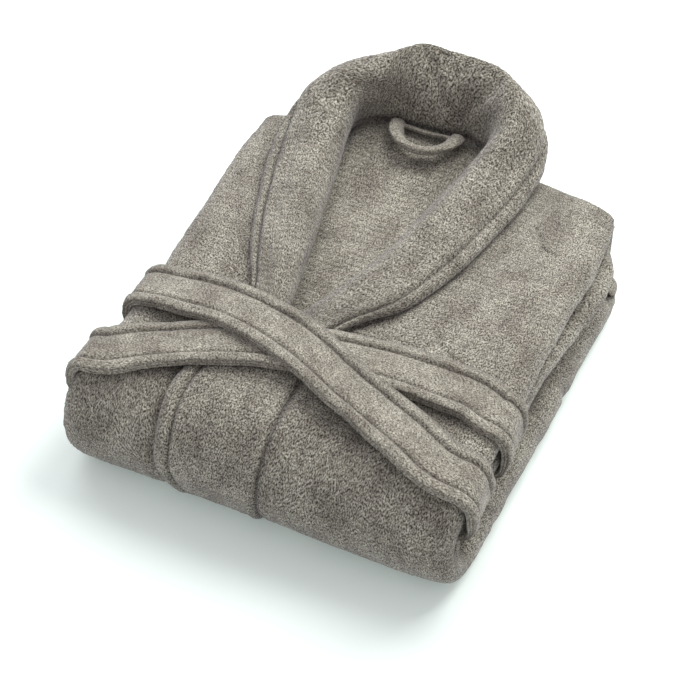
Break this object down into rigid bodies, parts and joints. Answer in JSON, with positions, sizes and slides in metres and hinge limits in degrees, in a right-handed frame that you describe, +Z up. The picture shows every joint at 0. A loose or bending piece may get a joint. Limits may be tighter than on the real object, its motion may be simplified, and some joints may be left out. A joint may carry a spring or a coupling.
{
  "type": "folded bathrobe",
  "caption": "Terry velour bathrobe with a standing shawl collar, folded at the waist into a square bundle with its tie belt crossed over the chest.",
  "frame": {"origin": "centre of the bundle's box, on the surface that it rests on", "axes": "+X runs along the waist fold towards the viewer's right, +Y from the waist fold back to the collar, +Z up"},
  "size_m": [0.4118, 0.514, 0.1957],
  "materials": {
    "velour_taupe": "sheared cotton velour pile, matt with a pale sheen at grazing angles",
    "loop_terry_taupe": "uncut cotton terry loops, matt"
  },
  "bodies": {
    "skirt": {"skirt_front_left": "velour_taupe", "skirt_front_right": "velour_taupe", "skirt_band_left": "velour_taupe", "skirt_band_right": "velour_taupe", "skirt_back": "loop_terry_taupe", "hem_third": "loop_terry_taupe", "hem_band": "velour_taupe", "pocket_left": "velour_taupe", "pocket_right": "velour_taupe"},
    "chest": {"front_panel_left": "velour_taupe", "front_panel_right": "velour_taupe", "front_band_left": "velour_taupe", "front_band_right": "velour_taupe", "back_panel": "loop_terry_taupe", "sleeve_left": "velour_taupe", "sleeve_right": "velour_taupe", "cuff_left": "velour_taupe", "cuff_right": "velour_taupe", "lapel_left": "velour_taupe", "lapel_right": "velour_taupe", "belt_loop_left": "velour_taupe", "belt_loop_right": "velour_taupe"},
    "belt": {"belt": "velour_taupe"},
    "collar": {"collar_stand": "velour_taupe"},
    "hanging_loop": {"hanging_loop": "velour_taupe"}
  },
  "joints": [
    {"name": "waist_unfold", "type": "hinge", "parent": "skirt", "child": "chest", "pos_m": [0, -0.257, 0.054], "axis": [1, 0, 0], "range_deg": [0, 150]},
    {"name": "belt_shift", "type": "slide", "parent": "chest", "child": "belt", "axis": [0, 1, 0], "range_m": [-0.01, 0.01]},
    {"name": "collar_tilt", "type": "hinge", "parent": "chest", "child": "collar", "pos_m": [-0.023, 0.212, 0.118], "axis": [-1, 0, 0], "range_deg": [-12, 25]},
    {"name": "loop_swing", "type": "hinge", "parent": "chest", "child": "hanging_loop", "pos_m": [-0.027, 0.202, 0.121], "axis": [-1, 0, 0], "range_deg": [0, 95]}
  ]
}
